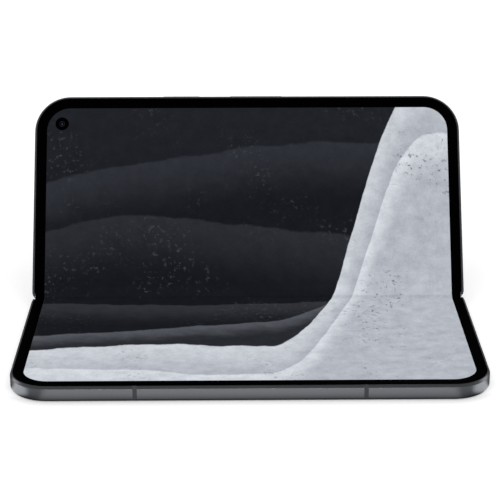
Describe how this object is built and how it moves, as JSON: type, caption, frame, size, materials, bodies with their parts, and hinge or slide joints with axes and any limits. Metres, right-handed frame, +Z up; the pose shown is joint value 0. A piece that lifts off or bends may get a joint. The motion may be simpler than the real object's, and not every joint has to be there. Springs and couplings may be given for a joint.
{
  "type": "foldable smartphone",
  "caption": "Book-style folding phone standing half open: one half lies flat and the other leans back on a geared spine hinge.",
  "frame": {"origin": "middle of the flat underside of the lying half's cover glass", "axes": "+X along the hinge from the camera end to the charging-port end, +Y from the free edge towards the hinge, +Z up"},
  "size_m": [0.1552, 0.1169, 0.069],
  "materials": {
    "frame_metal": "bead-blasted satin, anodised dark grey",
    "antenna_plastic": "satin, slightly darker than the metal",
    "glass": "polished dark glass",
    "display": "glossy display surface",
    "border_black": "soft black, low gloss",
    "camera_black": "black with coated lens glass",
    "battery_foil": "wrapped foil pouch",
    "board_green": "lacquered circuit board",
    "speaker_black": "moulded plastic box",
    "hinge_steel": "machined stainless steel",
    "coil_copper": "wound copper wire",
    "flash_lens": "clear lens over the lamp"
  },
  "bodies": {
    "base": {"base_frame": "frame_metal", "base_antenna_breaks": "antenna_plastic", "cover_glass": "glass", "cover_display_panel": "display", "cover_camera": "camera_black", "base_battery": "battery_foil", "base_board": "board_green", "earpiece_speaker": "speaker_black", "sim_reader": "hinge_steel", "base_border": "border_black", "base_display_panel": "display", "base_hinge_brackets": "hinge_steel", "base_bracket_screws": "hinge_steel", "base_magnets": "hinge_steel"},
    "sim_tray": {"sim_tray": "frame_metal"},
    "spine": {"spine_cover": "frame_metal", "spine_end_caps": "border_black", "hinge_blocks": "hinge_steel", "gear_shafts": "hinge_steel", "display_fold": "display", "fold_trims": "border_black"},
    "lid": {"lid_frame": "frame_metal", "lid_antenna_breaks": "antenna_plastic", "rear_glass": "glass", "camera_bump": "frame_metal", "camera_windows": "glass", "wide_camera": "camera_black", "ultrawide_camera": "camera_black", "telephoto_camera": "camera_black", "flash": "flash_lens", "inner_camera": "camera_black", "main_board": "board_green", "board_shield": "hinge_steel", "lid_battery": "battery_foil", "charging_coil": "coil_copper", "loudspeaker": "speaker_black", "vibration_motor": "hinge_steel", "usb_port": "hinge_steel", "button_switches": "hinge_steel", "lid_border": "border_black", "lid_display_panel": "display", "lid_hinge_brackets": "hinge_steel", "lid_bracket_screws": "hinge_steel", "lid_magnets": "hinge_steel"},
    "power_button": {"power_button": "frame_metal"},
    "volume_rocker": {"volume_rocker": "frame_metal"},
    "base_arms": {"base_sync_arms": "hinge_steel"},
    "lid_arms": {"lid_sync_arms": "hinge_steel"},
    "idlers_a": {"idler_gears_a": "hinge_steel"},
    "idlers_b": {"idler_gears_b": "hinge_steel"}
  },
  "joints": [
    {"name": "fold_base", "type": "hinge", "parent": "base", "child": "spine", "pos_m": [0, 0.0364, 0.0039], "axis": [1, 0, 0], "range_deg": [-29.7, 60.3], "deforming": ["display_fold", "fold_trims"]},
    {"name": "fold_lid", "type": "hinge", "parent": "spine", "child": "lid", "pos_m": [0, 0.03875, 0.00524], "axis": [1, 0, 0], "range_deg": [-29.7, 60.3]},
    {"name": "base_arms_turn", "type": "hinge", "parent": "spine", "child": "base_arms", "pos_m": [0, 0.03592, 0.00216], "axis": [1, 0, 0], "range_deg": [-60.3, 29.7]},
    {"name": "lid_arms_turn", "type": "hinge", "parent": "spine", "child": "lid_arms", "pos_m": [0, 0.04049, 0.00476], "axis": [1, 0, 0], "range_deg": [-29.7, 60.3]},
    {"name": "idlers_a_turn", "type": "hinge", "parent": "spine", "child": "idlers_a", "pos_m": [0, 0.03744, 0.00302], "axis": [1, 0, 0], "range_deg": [-29.7, 60.3]},
    {"name": "idlers_b_turn", "type": "hinge", "parent": "spine", "child": "idlers_b", "pos_m": [0, 0.03897, 0.00389], "axis": [1, 0, 0], "range_deg": [-60.3, 29.7]},
    {"name": "power_press", "type": "slide", "parent": "lid", "child": "power_button", "axis": [0, -0.509, -0.8607], "range_m": [0, 0.00025], "stiffness_N_per_m": 8000},
    {"name": "volume_rock", "type": "hinge", "parent": "lid", "child": "volume_rocker", "pos_m": [0.00325, 0.07644, 0.06613], "axis": [0, -0.8607, 0.509], "range_deg": [-1.2, 1.2], "stiffness_Nm_per_rad": 3},
    {"name": "sim_tray_slide", "type": "slide", "parent": "base", "child": "sim_tray", "axis": [1, 0, 0], "range_m": [0, 0.018]}
  ],
  "couplings": [
    {"joint": "fold_lid", "follows": "fold_base", "ratio": 1},
    {"joint": "base_arms_turn", "follows": "fold_base", "ratio": -1},
    {"joint": "lid_arms_turn", "follows": "fold_base", "ratio": 1},
    {"joint": "idlers_a_turn", "follows": "fold_base", "ratio": 1},
    {"joint": "idlers_b_turn", "follows": "fold_base", "ratio": -1}
  ]
}
